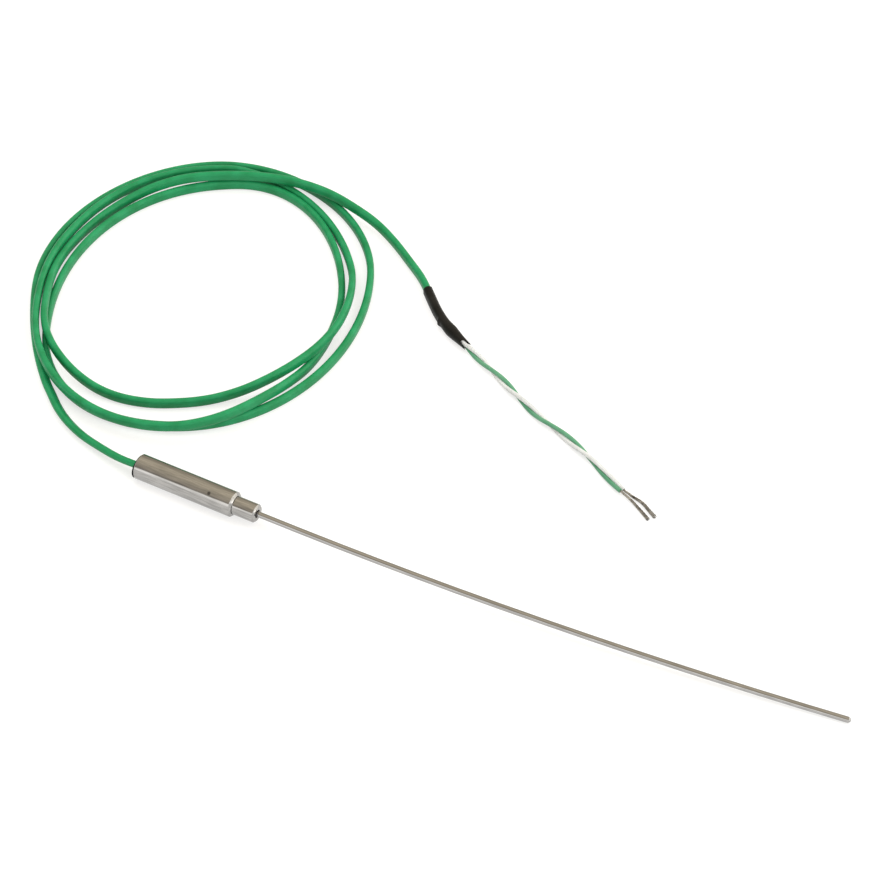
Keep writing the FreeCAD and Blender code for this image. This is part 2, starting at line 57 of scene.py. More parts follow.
def lay(right, away, height):
    """A place as the photograph shows it: millimetres right of and beyond the pot's back end, and up."""
    x = right * math.cos(LAY_ANGLE) - away * math.sin(LAY_ANGLE)
    y = right * math.sin(LAY_ANGLE) + away * math.cos(LAY_ANGLE)
    return Vector((BACK.x + x * MM, BACK.y + y * MM, height * MM))


# Lead, in millimetres: its section and the length of it inside the pot
LEAD_THICK = 1.8
LEAD_WIDTH = 2.8
LEAD_EMBED = 6.0
# Lean of its section at the pot in degrees, and the distances along it between which it turns upright
LEAD_ROLL = 41.0
ROLL_FROM = 35.0
ROLL_TO = 100.0
# Its route out of the pot and, past the coil, to the sleeve's mouth: right, away and height. The jacket
# follows the first points of the tail to its own end
LEAD_OUT = [
    (0.0, 0.0, 3.2),
    (-5.4, 3.4, 2.5),
    (-10.1, 7.7, 1.8),
    (-14.9, 12.1, 1.45),
    (-18.9, 17.1, 1.4),
    (-21.7, 22.0, 1.4),
    (-23.6, 27.0, 1.4),
]
TAIL = [
    (51.3, 92.8, 3.9),
    (56.4, 88.4, 3.0),
    (61.2, 82.2, 1.9),
    (65.2, 74.8, 1.5),
    (68.3, 68.6, 1.65),
    (70.4, 61.5, 1.65),
    (72.3, 55.4, 1.65),
    (75.2, 49.6, 1.65),
    (79.6, 43.7, 1.6),
]
JACKET_POINTS = 7
JACKET_END = (73.75, 52.5, 1.65)

# Reaches of the coil's strands in the order the lead takes them: right, away, and
# fullness of the quarter turn that follows, where 2 is a plain ellipse
COIL = [
    (2.1, 3.1, 2.02), (-30.7, 66.0, 1.90), (14.7, 113.4, 1.91), (55.1, 71.1, 1.95),
    (8.8, 15.3, 2.23), (-26.8, 50.8, 2.08), (19.4, 106.1, 2.06), (47.8, 63.4, 1.81),
    (6.6, 12.3, 2.05), (-29.5, 54.5, 2.17), (16.4, 110.7, 1.85), (50.5, 66.1, 2.11),
    (4.5, 23.4, 1.99), (-27.4, 54.9, 2.30), (17.7, 106.2, 2.18), (63.5, 56.8, 1.80),
]
# Points in a quarter turn, and the first and last of them that the lead takes
COIL_STEPS = 8
COIL_FIRST = 5
COIL_LAST = 115
# Height of the lead's middle on the floor, and its rise where it passes over another turn
REST_HEIGHT = 1.4
PASS_HEIGHT = 2.95
# Humps where the lead passes over its own turns: start, top, end of top and end in
# quarter turns, and share of the pass height
HUMPS = [
    (7.35, 7.62, 9.08, 9.6, 1.0), (9.0, 9.3, 9.95, 10.35, 0.4), (10.8, 11.12, 11.5, 11.9, 1.0),
    (12.25, 12.75, 13.05, 13.4, 1.0), (13.5, 13.9, 14.45, 14.8, 1.0),
]


def ease(t):
    t = min(1.0, max(0.0, t))
    return t * t * (3 - 2 * t)


def coil_height(quarters):
    lift = 0.0
    for start, top, top_end, end, share in HUMPS:
        rise = ease((quarters - start) / (top - start))
        fall = ease((end - quarters) / (end - top_end))
        lift = max(lift, share * min(rise, fall))
    return REST_HEIGHT + PASS_HEIGHT * lift


def coil_point(step):
    """A point of the coil, each quarter turn of which rounds the corner between two reaches."""
    quarters = step / COIL_STEPS
    i = min(int(quarters), len(COIL) - 2)
    turn = (quarters - i) * math.pi / 2
    right, away, full = COIL[i]
    next_right, next_away, _ = COIL[i + 1]
    fall = abs(math.cos(turn)) ** (2 / full)
    rise = abs(math.sin(turn)) ** (2 / full)
    height = coil_height(quarters)
    if i % 2:
        return lay(next_right + (right - next_right) * fall, away + (next_away - away) * rise, height)
    return lay(right + (next_right - right) * rise, next_away + (away - next_away) * fall, height)


# Curve and mesh helpers; edges that turn by more than SHARP are shaded sharp
SHARP = math.radians(24)


def smooth_line(points, density):
    """Points along the smooth curve that a route controls, about density of them for each of its points."""
    curve = bpy.data.curves.new("route", "CURVE")
    curve.dimensions = "3D"
    curve.resolution_u = density
    spline = curve.splines.new("NURBS")
    spline.points.add(len(points) - 1)
    for point, place in zip(spline.points, points):
        point.co = (*place, 1)
    spline.order_u = 3
    spline.use_endpoint_u = True
    holder = bpy.data.objects.new("route", curve)
    mesh = bpy.data.meshes.new_from_object(holder)
    line = [v.co.copy() for v in mesh.vertices]
    bpy.data.objects.remove(holder)
    bpy.data.curves.remove(curve)
    bpy.data.meshes.remove(mesh)
    return line


def distances(line):
    total = [0.0]
    for a, b in zip(line, line[1:]):
        total.append(total[-1] + (b - a).length)
    return total


def tangents(line):
    last = len(line) - 1
    return [(line[min(i + 1, last)] - line[max(i - 1, 0)]).normalized() for i in range(last + 1)]


def between(line, start, end):
    """The stretch of a line between two distances along it."""
    total = distances(line)
    out = []
    for i in range(len(line) - 1):
        for mark in (start, end):
            if total[i] <= mark < total[i + 1]:
                share = (mark - total[i]) / (total[i + 1] - total[i])
                out.append((mark, line[i].lerp(line[i + 1], share)))
        if start < total[i] < end:
            out.append((total[i], line[i]))
    out.sort(key=lambda item: item[0])
    return [p for _, p in out]


def nearest(line, place):
    """Distance along a line of its point that is nearest to a place."""
    total = distances(line)
    return min(zip(line, total), key=lambda item: (item[0] - place).length)[1]


def from_table(table, x):
    """A table's row at x, read between its rows, without its first column."""
    for low, high in zip(table, table[1:]):
        if x <= high[0]:
            t = max(0.0, (x - low[0]) / (high[0] - low[0]))
            return [a + (b - a) * t for a, b in zip(low[1:], high[1:])]
    return list(table[-1][1:])


def across(tangent, roll):
    """The flat lead's wide and thin directions, the wide one leaning by roll degrees from upright."""
    side = tangent.cross(UP).normalized()
    upright = side.cross(tangent)
    a = math.radians(roll)
    wide = upright * math.cos(a) - side * math.sin(a)
    return wide, wide.cross(tangent).normalized()


def around(place, way, turn, reach):
    """A point some millimetres to the side of a line that passes a place, turned from upright."""
    side = UP.cross(way).normalized()
    upright = way.cross(side)
    return place + (upright * math.cos(turn) + side * math.sin(turn)) * (reach * MM)


def angles(count):
    return [2 * math.pi * k / count for k in range(count)]


def oval_ring(thick, width, count):
    """A stadium's outline as (thin, wide) offsets in millimetres, wide ends rounded."""
    r = thick / 2
    h = max(0.0, width / 2 - r)
    ring = []
    for k in range(count):
        a = 2 * math.pi * (k + 0.5) / count
        ring.append((r * math.cos(a), r * math.sin(a) + math.copysign(h, math.sin(a))))
    return ring


def object_from(name, bm):
    mesh = bpy.data.meshes.new(name)
    bm.to_mesh(mesh)
    bm.free()
    obj = bpy.data.objects.new(name, mesh)
    bpy.context.scene.collection.objects.link(obj)
    return obj


def loft(name, rings, closed=False):
    """A skin over rings of points: capped at both ends, or closed from the last ring to the first."""
    bm = bmesh.new()
    loops = [[bm.verts.new(p) for p in ring] for ring in rings]
    count = len(rings[0])
    following = loops[1:] + loops[:1] if closed else loops[1:]
    for low, high in zip(loops, following):
        for k in range(count):
            n = (k + 1) % count
            bm.faces.new((low[k], low[n], high[n], high[k]))
    if not closed:
        bm.faces.new(reversed(loops[0]))
        bm.faces.new(loops[-1])
    bmesh.ops.recalc_face_normals(bm, faces=bm.faces)
    for face in bm.faces:
        face.smooth = len(face.verts) == 4
    for edge in bm.edges:
        edge.smooth = edge.calc_face_angle() < SHARP
    return object_from(name, bm)


def tube_rings(line, radius, count):
    """Round rings along a line, turned as little as possible from one to the next."""
    ways = tangents(line)
    side = ways[0].orthogonal().normalized()
    rings = []
    for p, way in zip(line, ways):
        side = (side - way * side.dot(way)).normalized()
        other = way.cross(side)
        rings.append([p + (side * math.cos(a) + other * math.sin(a)) * radius for a in angles(count)])
    return rings


def joined(name, objects):
    bm = bmesh.new()
    for obj in objects:
        bm.from_mesh(obj.data)
        bpy.data.objects.remove(obj)
    return object_from(name, bm)


# Material helpers; a colour or roughness goes from end to end over this part of a noise's range
NOISE_LOW = 0.3
NOISE_HIGH = 0.7
# Scale of a plastic's patches of colour, and detail of each noise
PATCH_SCALE = 220.0
PATCH_DETAIL = 4.0
GRAIN_DETAIL = 5.0
MARK_DETAIL = 4.0
# Least and most roughness as shares of the material's own, and the bump's strength and its depth in metres
PLASTIC_SPREAD = (0.85, 1.15)
PLASTIC_BUMP = (0.25, 0.00004)
METAL_SPREAD = (0.8, 1.25)
METAL_BUMP = (0.08, 0.00002)
# Stretch of a metal's marks: even, and along the axis of a drawn or a ground piece
EVEN = (1.0, 1.0, 1.0)
DRAWN = (0.03, 1.0, 1.0)
GROUND = (0.10, 1.0, 1.0)


def material(name, roughness, metallic=0.0, **sockets):
    """A shader with these constants; in the names of other sockets an underscore stands for a space."""
    mat = bpy.data.materials.new(name)
    mat.use_nodes = True
    shader = mat.node_tree.nodes["Principled BSDF"]
    shader.inputs["Roughness"].default_value = roughness
    shader.inputs["Metallic"].default_value = metallic
    for key, value in sockets.items():
        shader.inputs[key.replace("_", " ")].default_value = value
    return mat


def noise(mat, scale, detail, stretch=EVEN):
    """A noise that is fixed to the piece, with scale in waves to the metre."""
    tree = mat.node_tree
    coords = tree.nodes.new("ShaderNodeTexCoord")
    mapping = tree.nodes.new("ShaderNodeMapping")
    mapping.inputs["Scale"].default_value = stretch
    texture = tree.nodes.new("ShaderNodeTexNoise")
    texture.inputs["Scale"].default_value = scale
    texture.inputs["Detail"].default_value = detail
    tree.links.new(coords.outputs["Object"], mapping.inputs["Vector"])
    tree.links.new(mapping.outputs["Vector"], texture.inputs["Vector"])
    return texture.outputs["Fac"]


def ramp(mat, factor, stops):
    """A colour that follows a factor through stops of place and colour."""
    node = mat.node_tree.nodes.new("ShaderNodeValToRGB")
    elements = node.color_ramp.elements
    while len(elements) < len(stops):
        elements.new(0.5)
    for element, (place, colour) in zip(elements, stops):
        element.position = place
        element.color = (*colour, 1)
    mat.node_tree.links.new(factor, node.inputs["Fac"])
    return node.outputs["Color"]


def spread(mat, factor, low, high):
    """A number that follows a noise from low to high."""
    node = mat.node_tree.nodes.new("ShaderNodeMapRange")
    node.inputs["From Min"].default_value = NOISE_LOW
    node.inputs["From Max"].default_value = NOISE_HIGH
    node.inputs["To Min"].default_value = low
    node.inputs["To Max"].default_value = high
    mat.node_tree.links.new(factor, node.inputs["Value"])
    return node.outputs["Result"]


def wire_in(mat, output, socket):
    shader = mat.node_tree.nodes["Principled BSDF"]
    mat.node_tree.links.new(output, shader.inputs[socket])


def bump(mat, height, strength, depth):
    node = mat.node_tree.nodes.new("ShaderNodeBump")
    node.inputs["Strength"].default_value = strength
    node.inputs["Distance"].default_value = depth
    mat.node_tree.links.new(height, node.inputs["Height"])
    wire_in(mat, node.outputs["Normal"], "Normal")


def dark_spot(mat, place, radius, shade):
    """One small dark spot darkened into a surface's colour, as dark as shade within half its radius."""
    tree = mat.node_tree
    colour = tree.nodes["Principled BSDF"].inputs["Base Color"].links[0].from_socket
    coords = tree.nodes.new("ShaderNodeTexCoord")
    gap = tree.nodes.new("ShaderNodeVectorMath")
    gap.operation = "DISTANCE"
    gap.inputs[1].default_value = place
    edge = tree.nodes.new("ShaderNodeMapRange")
    edge.inputs["From Min"].default_value = radius / 2
    edge.inputs["From Max"].default_value = radius
    edge.inputs["To Min"].default_value = shade
    darker = tree.nodes.new("ShaderNodeVectorMath")
    darker.operation = "SCALE"
    tree.links.new(coords.outputs["Object"], gap.inputs[0])
    tree.links.new(gap.outputs["Value"], edge.inputs["Value"])
    tree.links.new(colour, darker.inputs[0])
    tree.links.new(edge.outputs["Result"], darker.inputs["Scale"])
    wire_in(mat, darker.outputs["Vector"], "Base Color")


def plastic(name, dark, light, roughness, grain, **sockets):
    mat = material(name, roughness, **sockets)
    patches = noise(mat, PATCH_SCALE, PATCH_DETAIL)
    wire_in(mat, ramp(mat, patches, [(NOISE_LOW, dark), (NOISE_HIGH, light)]), "Base Color")
    fine = noise(mat, grain, GRAIN_DETAIL)
    least, most = PLASTIC_SPREAD
    wire_in(mat, spread(mat, fine, roughness * least, roughness * most), "Roughness")
    bump(mat, fine, *PLASTIC_BUMP)
    return mat


def metal(name, dark, light, roughness, stretch, scale):
    mat = material(name, roughness, metallic=1.0)
    marks = noise(mat, scale, MARK_DETAIL, stretch)
    wire_in(mat, ramp(mat, marks, [(NOISE_LOW, dark), (NOISE_HIGH, light)]), "Base Color")
    least, most = METAL_SPREAD
    wire_in(mat, spread(mat, marks, roughness * least, roughness * most), "Roughness")
    bump(mat, marks, *METAL_BUMP)
    return mat


# Materials: darkest and lightest colour, roughness, then a metal's stretch and scale of marks or a
# plastic's scale of grain
steel = metal("pot_steel", (0.28, 0.277, 0.27), (0.42, 0.413, 0.405), 0.10, GROUND, 2200.0)
alloy = metal("drawn_alloy", (0.300, 0.298, 0.297), (0.425, 0.421, 0.418), 0.08, DRAWN, 2500.0)
wire_alloy = metal("wire_alloy", (0.40, 0.38, 0.35), (0.60, 0.57, 0.52), 0.35, DRAWN, 4000.0)
strand_alloy = metal("strand_alloy", (0.10, 0.096, 0.09), (0.62, 0.605, 0.585), 0.36, EVEN, 1500.0)
braze_metal = metal("braze_metal", (0.12, 0.10, 0.07), (0.26, 0.22, 0.15), 0.55, EVEN, 2500.0)
crimp_metal = metal("crimp_metal", (0.48, 0.46, 0.43), (0.66, 0.64, 0.60), 0.30, EVEN, 2500.0)
powder = plastic("packed_powder", (0.80, 0.79, 0.75), (0.92, 0.91, 0.88), 0.9, 6000.0)
resin = plastic("cast_resin", (0.030, 0.030, 0.030), (0.055, 0.055, 0.055), 0.55, 2500.0)
rubber = plastic(
    "black_rubber", (0.006, 0.006, 0.006), (0.016, 0.016, 0.015), 0.85, 3500.0, Specular_IOR_Level=0.12
)
jacket = plastic(
    "green_jacket", (0.004, 0.200, 0.062), (0.014, 0.285, 0.108), 0.45, 2500.0, Specular_IOR_Level=0.3
)
green_skin = plastic("green_core_skin", (0.060, 0.255, 0.135), (0.115, 0.335, 0.195), 0.42, 2500.0)
white_skin = plastic(
    "white_core_skin", (0.74, 0.765, 0.77), (0.86, 0.885, 0.89), 0.30, 2500.0, Transmission_Weight=0.25
)
shrink = plastic(
    "shrink_black", (0.004, 0.004, 0.0035), (0.013, 0.0125, 0.011), 0.50, 2200.0, Specular_IOR_Level=0.2
)

NODE_LOOKS = {
    "sheath": alloy, "mgo_insulation": powder, "thermoelement_positive": wire_alloy,
    "thermoelement_negative": wire_alloy, "hot_junction": wire_alloy, "mi_end_seal": resin,
    "braze_ring": braze_metal, "potting": resin, "end_seal": rubber, "pot_core_green": green_skin,
    "pot_core_white": white_skin, "pot_conductor_positive": strand_alloy,
    "pot_conductor_negative": strand_alloy, "splice_positive": crimp_metal, "splice_negative": crimp_metal,
}


def dress(obj, mat):
    obj.data.materials.clear()
    obj.data.materials.append(mat)


for node, look in NODE_LOOKS.items():
    dress(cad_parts[node], look)


def piece(obj, mat, slot, *nodes):
    """Dress a piece, put it in place of the nodes given, and let it ride on the one body; the slot is not
    used.
    """
    dress(obj, mat)
    if nodes:
        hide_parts(*nodes)
    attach(obj, "root")
    return obj


# Pot, in millimetres: radii, and distances from the back end
POT_RADIUS = 3.2
SHOULDER = 27.2
SHOULDER_BEVEL = 0.6
NOSE_RADIUS = 2.35
NOSE_END = 33.2
NOSE_BEVEL = 0.4
BORE_RADIUS = 2.7
BORE_END = 24.5
RECESS_RADIUS = 1.05
RECESS_FLOOR = 31.8
HOLE_RADIUS = 0.75
# Turned groove between shoulder and nose
GROOVE_DEPTH = 0.08
GROOVE_WIDTH = 0.14
POT_SIDES = 160


def bevel(end, radius, size):
    """A bevelled edge with both its corners softened, as points of distance along and radius."""
    return [
        (end - size - 0.05, radius), (end - size + 0.03, radius - 0.02),
        (end - 0.05, radius - size + 0.06), (end, radius - size - 0.02),
    ]


# Turned profile: softened back rim, body, groove, nose, softened edge of the recess, and bore
POT = [
    (0.0, BORE_RADIUS), (0.0, POT_RADIUS - 0.16), (0.03, POT_RADIUS - 0.08), (0.14, POT_RADIUS),
    *bevel(SHOULDER, POT_RADIUS, SHOULDER_BEVEL),
    (SHOULDER, NOSE_RADIUS + 0.05), (SHOULDER + 0.02, NOSE_RADIUS - GROOVE_DEPTH),
    (SHOULDER + GROOVE_WIDTH - 0.03, NOSE_RADIUS - GROOVE_DEPTH), (SHOULDER + GROOVE_WIDTH, NOSE_RADIUS),
    *bevel(NOSE_END, NOSE_RADIUS, NOSE_BEVEL),
    (NOSE_END, RECESS_RADIUS + 0.07), (NOSE_END - 0.03, RECESS_RADIUS + 0.01),
    (NOSE_END - 0.12, RECESS_RADIUS), (RECESS_FLOOR, RECESS_RADIUS), (RECESS_FLOOR, HOLE_RADIUS),
    (BORE_END, HOLE_RADIUS), (BORE_END, BORE_RADIUS),
]
pot_rings = [
    [BACK + Vector((x, r * math.cos(a), r * math.sin(a))) * MM for a in angles(POT_SIDES)]
    for x, r in POT
]
pot = loft("pot", pot_rings, closed=True)
piece(pot, steel, "pot_steel", "pot_body")

# A small dark spot darkened into the steel's colour on the pot's near side: distance along, angle up from
# level, radius and shade
SPOT_ALONG = 20.8
SPOT_ANGLE = math.radians(54.5)
SPOT_RADIUS = 0.55
SPOT_SHADE = 0.32
pot_radius = (pot_high.z - pot_low.z) / 2
spot_place = BACK + Vector((
    SPOT_ALONG * MM, -pot_radius * math.cos(SPOT_ANGLE), pot_radius * math.sin(SPOT_ANGLE)
))
dark_spot(steel, spot_place, SPOT_RADIUS * MM, SPOT_SHADE)

# Bead of the seal round the pot's back rim, fullest on the side where the seal is thickest: that side's
# turn from straight down, how far the lip stands out at its middle, and how much more on that side
SEAL_ROLL = math.radians(-49.0)
SEAL_MIDDLE = 0.265
SEAL_SLOPE = 0.185
# Radius at which the bead goes round, its depth in the lip, and its section's least and greatest radius
BEAD_RADIUS = 2.8
BEAD_SINK = 0.15
BEAD_THIN = 0.10
BEAD_FULL = 0.33
BEAD_STEPS = 72
BEAD_SIDES = 12
seal_thick_side = Vector((0, math.sin(SEAL_ROLL), -math.cos(SEAL_ROLL)))
bead_rings = []
for a in angles(BEAD_STEPS):
    out = Vector((0, math.cos(a), math.sin(a)))
    lean = out.dot(seal_thick_side)
    section = BEAD_THIN + (BEAD_FULL - BEAD_THIN) * (1 + lean) / 2
    middle = out * BEAD_RADIUS - Vector((SEAL_MIDDLE + SEAL_SLOPE * lean - BEAD_SINK, 0, 0))
    bead_rings.append([
        BACK + (middle + (out * math.cos(b) + Vector((math.sin(b), 0, 0))) * section) * MM
        for b in angles(BEAD_SIDES)
    ])
bead = loft("seal_bead", bead_rings, closed=True)
piece(bead, rubber, "black_rubber")

# Lead: one flat cord from inside the pot, round the coil, to the end of its jacket
lead_points = [BACK + Vector((LEAD_EMBED * MM, 0, 0))]
lead_points += [lay(*p) for p in LEAD_OUT]
lead_points += [coil_point(k) for k in range(COIL_FIRST, COIL_LAST + 1)]
lead_points += [lay(*p) for p in TAIL[:JACKET_POINTS]] + [lay(*JACKET_END)]
LEAD_DENSITY = 8
LEAD_SIDES = 24
lead_line = smooth_line(lead_points, LEAD_DENSITY)
lead_run = distances(lead_line)
ring = oval_ring(LEAD_THICK, LEAD_WIDTH, LEAD_SIDES)
lead_rings = []
for p, way, run in zip(lead_line, tangents(lead_line), lead_run):
    roll = LEAD_ROLL * (1 - ease((run / MM - ROLL_FROM) / (ROLL_TO - ROLL_FROM)))
    wide, thin = across(way, roll)
    lead_rings.append([p + (thin * a + wide * b) * MM for a, b in ring])
lead = loft("lead", lead_rings)
piece(lead, jacket, "green_jacket", "lead_start", "lead_coil", "lead_tail")

# Shrink sleeve: over the end of the jacket, then flattened and narrowed to a forked mouth
TAIL_DENSITY = 40
SLEEVE_START = (69.7, 64.4, 1.65)
tail_line = smooth_line([lay(*p) for p in TAIL], TAIL_DENSITY)
sleeve_from = nearest(tail_line, lay(*SLEEVE_START))
jacket_stop = nearest(tail_line, lay(*JACKET_END))
sleeve_to = distances(tail_line)[-1]
# Distance past the end of the jacket, thickness, width and lean of the sleeve's section
SLEEVE = [
    (-20.0, 2.42, 3.30, 0.0), (-1.2, 2.42, 3.30, 0.0), (0.0, 2.50, 3.30, -3.0), (0.9, 2.65, 3.25, -8.0),
    (1.7, 2.88, 3.20, -14.0), (3.3, 3.18, 3.20, -20.0), (4.1, 3.10, 3.15, -23.0), (5.6, 2.84, 3.05, -26.0),
    (7.2, 2.50, 2.95, -28.0), (8.8, 2.23, 2.85, -28.0), (10.5, 2.03, 2.75, -28.0),
]
SLEEVE_WALL = 0.22
SLEEVE_SIDES = 40
# The mouth's notch: its depth, the length over which it deepens, and how blunt it is
MOUTH_FORK = 1.8
MOUTH_LENGTH = 4.0
MOUTH_BLUNT = 2.5
# What is left off the end of the line, so that the cut falls within it
MOUTH_TRIM = 0.01
# Knob that the jacket's end pushes out on the near side: start, top and end past that end, and height
KNOB = (-1.7, -0.5, 0.4, 0.5)


def sleeve_rings(inset):
    """Rings of the sleeve's skin, set in from its outside."""
    line = between(tail_line, sleeve_from, sleeve_to - MOUTH_TRIM * MM)
    knob_start, knob_top, knob_end, knob_height = KNOB
    rings = []
    run = sleeve_from
    before = line[0]
    for p, way in zip(line, tangents(line)):
        run += (p - before).length
        before = p
        past = (run - jacket_stop) / MM
        thick, width, lean = from_table(SLEEVE, past)
        wide, thin = across(way, lean)
        near = way.cross(UP).normalized()
        rise = ease((past - knob_start) / (knob_top - knob_start))
        knob = knob_height * min(rise, ease((knob_end - past) / (knob_end - knob_top)))
        fork = ease((run - sleeve_to + MOUTH_LENGTH * MM) / (MOUTH_LENGTH * MM))
        ring = []
        for a, b in oval_ring(thick - 2 * inset, width - 2 * inset, SLEEVE_SIDES):
            out = thin * a + wide * b
            out += near * (knob * max(0.0, out.normalized().dot(near)) ** 2)
            notch = fork * MOUTH_FORK * (1 - min(1.0, abs(a) / (thick / 2)) ** MOUTH_BLUNT)
            ring.append(p + (out - way * notch) * MM)
        rings.append(ring)
    return rings


outside = sleeve_rings(0.0)
inside = sleeve_rings(SLEEVE_WALL)
sleeve = loft("sleeve", outside + inside[::-1], closed=True)
piece(sleeve, shrink, "black_sleeve", "shrink_sleeve")

# Twisted cores: the pair's middle line, and where the white core lies round it, measured from upright
PAIR = [
    (73.75, 52.5, 1.65), (75.2, 49.6, 1.65), (79.4, 43.9, 1.5), (83.65, 38.3, 1.2), (87.6, 32.8, 1.1),
    (92.35, 25.8, 1.09), (96.2, 20.3, 1.09), (101.0, 15.0, 1.09), (105.4, 9.9, 1.09), (109.2, 5.0, 1.09),
    (113.5, -1.8, 1.09), (116.6, -6.1, 1.09),
]
PAIR_MOUTH = PAIR[2]
PAIR_DENSITY = 16
CORE_DIA = 1.08
CORE_SIDES = 16
# Distance past the mouth, and the white core's turn there in degrees
TWIST = [
    (-12.0, 0.0), (-10.0, 0.0), (-4.0, -15.0), (0.0, -20.0), (10.5, 150.0), (21.4, 329.0), (48.0, 689.0),
    (62.0, 820.0), (80.0, 1000.0),
]
pair_line = smooth_line([lay(*p) for p in PAIR], PAIR_DENSITY)
pair_run = distances(pair_line)
mouth_run = nearest(pair_line, lay(*PAIR_MOUTH))


def core_line(phase):
    line = []
    for p, way, run in zip(pair_line, tangents(pair_line), pair_run):
        turn = math.radians(from_table(TWIST, (run - mouth_run) / MM)[0] + phase)
        line.append(around(p, way, turn, CORE_DIA / 2))
    return line


def core(name, phase, look, node):
    line = core_line(phase)
    obj = loft(name, tube_rings(line, CORE_DIA / 2 * MM, CORE_SIDES))
    piece(obj, look, name, node)
    return obj, line


white_core, white_line = core("white_core", 0.0, white_skin, "core_white")
green_core, green_line = core("green_core", 180.0, green_skin, "core_green")

# Bare ends: a bundle of thin strands that open out a little
GREEN_TAIL = [(118.8, -9.0, 0.6), (120.3, -11.4, 0.52), (121.3, -13.0, 0.5), (122.6, -15.3, 0.5)]
WHITE_TAIL = [
    (117.9, -6.6, 0.8), (119.0, -7.8, 0.7), (120.9, -9.3, 0.62), (122.0, -10.6, 0.57), (122.9, -12.4, 0.56),
    (124.3, -14.6, 0.56),
]
BARE_DENSITY = 14
# How far the strands start inside their core, and run straight on out of it
BARE_EMBED = 1.0
BARE_STRAIGHT = 0.8
STRAND_DIA = 0.22
STRAND_SIDES = 8
STRAND_PITCH = 6.0
STRANDS = 6
# Distance of the strands from the middle one at their start, and what it grows by, in diameters
STRAND_REACH = 0.75
WHITE_OPENING = 1.15
GREEN_OPENING = 0.90


def bare_end(name, core_path, tail, opening, *nodes):
    end = core_path[-1]
    way = tangents(core_path)[-1]
    points = [end - way * (BARE_EMBED * MM), end + way * (BARE_STRAIGHT * MM)] + [lay(*p) for p in tail]
    line = smooth_line(points, BARE_DENSITY)
    run = distances(line)
    strands = [loft(name + "_middle", tube_rings(line, STRAND_DIA / 2 * MM, STRAND_SIDES))]
    for k in range(STRANDS):
        path = []
        for p, way, d in zip(line, tangents(line), run):
            turn = 2 * math.pi * (k / STRANDS - d / (STRAND_PITCH * MM))
            reach = STRAND_DIA * (STRAND_REACH + opening * (d / run[-1]))
            path.append(around(p, way, turn, reach))
        strands.append(loft(f"{name}_{k}", tube_rings(path, STRAND_DIA / 2 * MM, STRAND_SIDES)))
    obj = joined(name, strands)
    return piece(obj, strand_alloy, "bare_wire", *nodes)


bare_white = bare_end("bare_white", white_line, WHITE_TAIL, WHITE_OPENING, "conductor_negative")
bare_green = bare_end("bare_green", green_line, GREEN_TAIL, GREEN_OPENING, "conductor_positive")

# Floor
FLOOR_SIZE = 40.0
FLOOR_SHADE = 0.42
FLOOR_GLOW = 0.64


def added(tree, first, second):
    both = tree.nodes.new("ShaderNodeAddShader")
    tree.links.new(first, both.inputs[0])
    tree.links.new(second, both.inputs[1])
    return both.outputs[0]


def pale_floor():
    """A floor that keeps the shadow; a glow that the camera, gloss and clear pieces see makes it white."""
    mat = bpy.data.materials.new("pale_floor")
    mat.use_nodes = True
    tree = mat.node_tree
    tree.nodes.clear()
    output = tree.nodes.new("ShaderNodeOutputMaterial")
    diffuse = tree.nodes.new("ShaderNodeBsdfDiffuse")
    diffuse.inputs["Color"].default_value = (FLOOR_SHADE, FLOOR_SHADE, FLOOR_SHADE, 1)
    rays = tree.nodes.new("ShaderNodeLightPath")
    seen = tree.nodes.new("ShaderNodeMath")
    seen.operation = "MAXIMUM"
    seen_clear = tree.nodes.new("ShaderNodeMath")
    seen_clear.operation = "MAXIMUM"
    strength = tree.nodes.new("ShaderNodeMath")
    strength.operation = "MULTIPLY"
    strength.inputs[1].default_value = FLOOR_GLOW
    glow = tree.nodes.new("ShaderNodeEmission")
    tree.links.new(rays.outputs["Is Camera Ray"], seen.inputs[0])
    tree.links.new(rays.outputs["Is Glossy Ray"], seen.inputs[1])
    tree.links.new(seen.outputs[0], seen_clear.inputs[0])
    tree.links.new(rays.outputs["Is Transmission Ray"], seen_clear.inputs[1])
    tree.links.new(seen_clear.outputs[0], strength.inputs[0])
    tree.links.new(strength.outputs[0], glow.inputs["Strength"])
    tree.links.new(added(tree, diffuse.outputs[0], glow.outputs[0]), output.inputs["Surface"])
    return mat


bpy.ops.mesh.primitive_plane_add(size=FLOOR_SIZE, location=(0, 0, 0))
floor = bpy.context.object
floor.name = "floor"
dress(floor, pale_floor())

# World: a warm room with a lighter ceiling, a pale low wall on the camera's side and one on the right. The
# room's stops run towards a way that is turned from straight down to the camera, and the right wall is
# turned to the far side
ROOM_TURN = math.radians(42.0)
RIGHT_TURN = math.radians(14.0)
# Stops of place and colour, and levels
ROOM = [
    (0.0, (0.298, 0.262, 0.201)), (0.07, (0.290, 0.254, 0.197)), (0.20, (0.201, 0.181, 0.145)),
    (0.39, (0.150, 0.133, 0.116)), (0.49, (0.165, 0.153, 0.138)), (0.53, (0.80, 0.78, 0.74)),
    (0.58, (1.0, 0.98, 0.95)), (0.64, (0.82, 0.80, 0.78)), (0.70, (0.58, 0.57, 0.55)),
    (1.0, (0.55, 0.545, 0.53)),
]
CEILING = [(0.45, (0.0, 0.0, 0.0)), (0.75, (1.0, 0.88, 0.68))]
RIGHT_WALL = [(0.62, (0.0, 0.0, 0.0)), (0.74, (1.0, 0.96, 0.88))]
ROOM_LEVEL = 2.05
CEILING_LEVEL = 0.36
RIGHT_LEVEL = 1.6


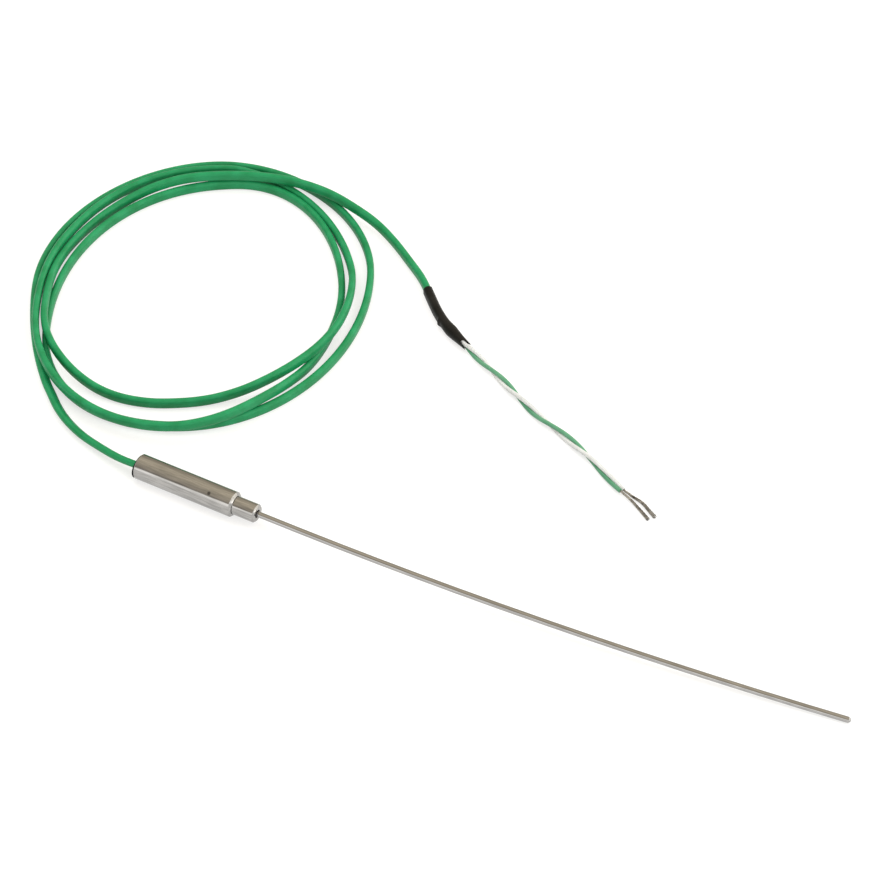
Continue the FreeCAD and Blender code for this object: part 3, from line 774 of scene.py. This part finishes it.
def wall(world, towards, low, stops, level):
    """Light by the cosine of the angle to a way, whose stops run from where it is low to where it is 1."""
    tree = world.node_tree
    coords = tree.nodes.new("ShaderNodeTexCoord")
    facing = tree.nodes.new("ShaderNodeVectorMath")
    facing.operation = "DOT_PRODUCT"
    facing.inputs[1].default_value = towards
    spread_out = tree.nodes.new("ShaderNodeMapRange")
    spread_out.inputs["From Min"].default_value = low
    light = tree.nodes.new("ShaderNodeBackground")
    light.inputs["Strength"].default_value = level
    tree.links.new(coords.outputs["Generated"], facing.inputs[0])
    tree.links.new(facing.outputs["Value"], spread_out.inputs["Value"])
    tree.links.new(ramp(world, spread_out.outputs["Result"], stops), light.inputs["Color"])
    return light.outputs[0]


def studio():
    world = bpy.data.worlds.new("studio")
    world.use_nodes = True
    tree = world.node_tree
    tree.nodes.clear()
    output = tree.nodes.new("ShaderNodeOutputWorld")
    room_way = -FAR * math.sin(ROOM_TURN) - UP * math.cos(ROOM_TURN)
    right_way = RIGHT * math.cos(RIGHT_TURN) + FAR * math.sin(RIGHT_TURN)
    room = wall(world, room_way, low=-1.0, stops=ROOM, level=ROOM_LEVEL)
    ceiling = wall(world, UP, low=0.0, stops=CEILING, level=CEILING_LEVEL)
    right_wall = wall(world, right_way, low=0.0, stops=RIGHT_WALL, level=RIGHT_LEVEL)
    whole = added(tree, added(tree, room, ceiling), right_wall)
    tree.links.new(whole, output.inputs["Surface"])
    return world


bpy.context.scene.world = studio()

# Camera, at the photograph's viewing angle
ELEVATION = math.radians(45.0)
DISTANCE = 0.9
AIM = (72.8, 12.0, 0.0)
LENS = 150.0
SENSOR = 36.0
CLIP_START = 0.01
aim = lay(*AIM)
camera_data = bpy.data.cameras.new("camera")
camera_data.lens = LENS
camera_data.sensor_width = SENSOR
camera_data.clip_start = CLIP_START
camera = bpy.data.objects.new("camera", camera_data)
camera.location = aim - FAR * (DISTANCE * math.cos(ELEVATION)) + UP * (DISTANCE * math.sin(ELEVATION))
camera.rotation_euler = (aim - camera.location).to_track_quat("-Z", "Y").to_euler()
bpy.context.scene.collection.objects.link(camera)
bpy.context.scene.camera = camera

# Lights, in metres from the aim and watts
LAMP_COLOUR = (0.95, 1.0, 1.07)


def area_light(name, right, away, height, size, power):
    data = bpy.data.lights.new(name, "AREA")
    data.size = size
    data.energy = power
    data.color = LAMP_COLOUR
    lamp = bpy.data.objects.new(name, data)
    lamp.location = aim + RIGHT * right + FAR * away + UP * height
    lamp.rotation_euler = (aim - lamp.location).to_track_quat("-Z", "Y").to_euler()
    lamp.visible_glossy = False
    bpy.context.scene.collection.objects.link(lamp)


area_light("key", right=-0.5, away=0.5, height=1.2, size=0.9, power=7.2)
area_light("fill", right=0.7, away=-0.4, height=1.0, size=1.0, power=4.4)

bpy.context.scene.view_settings.view_transform = "Standard"
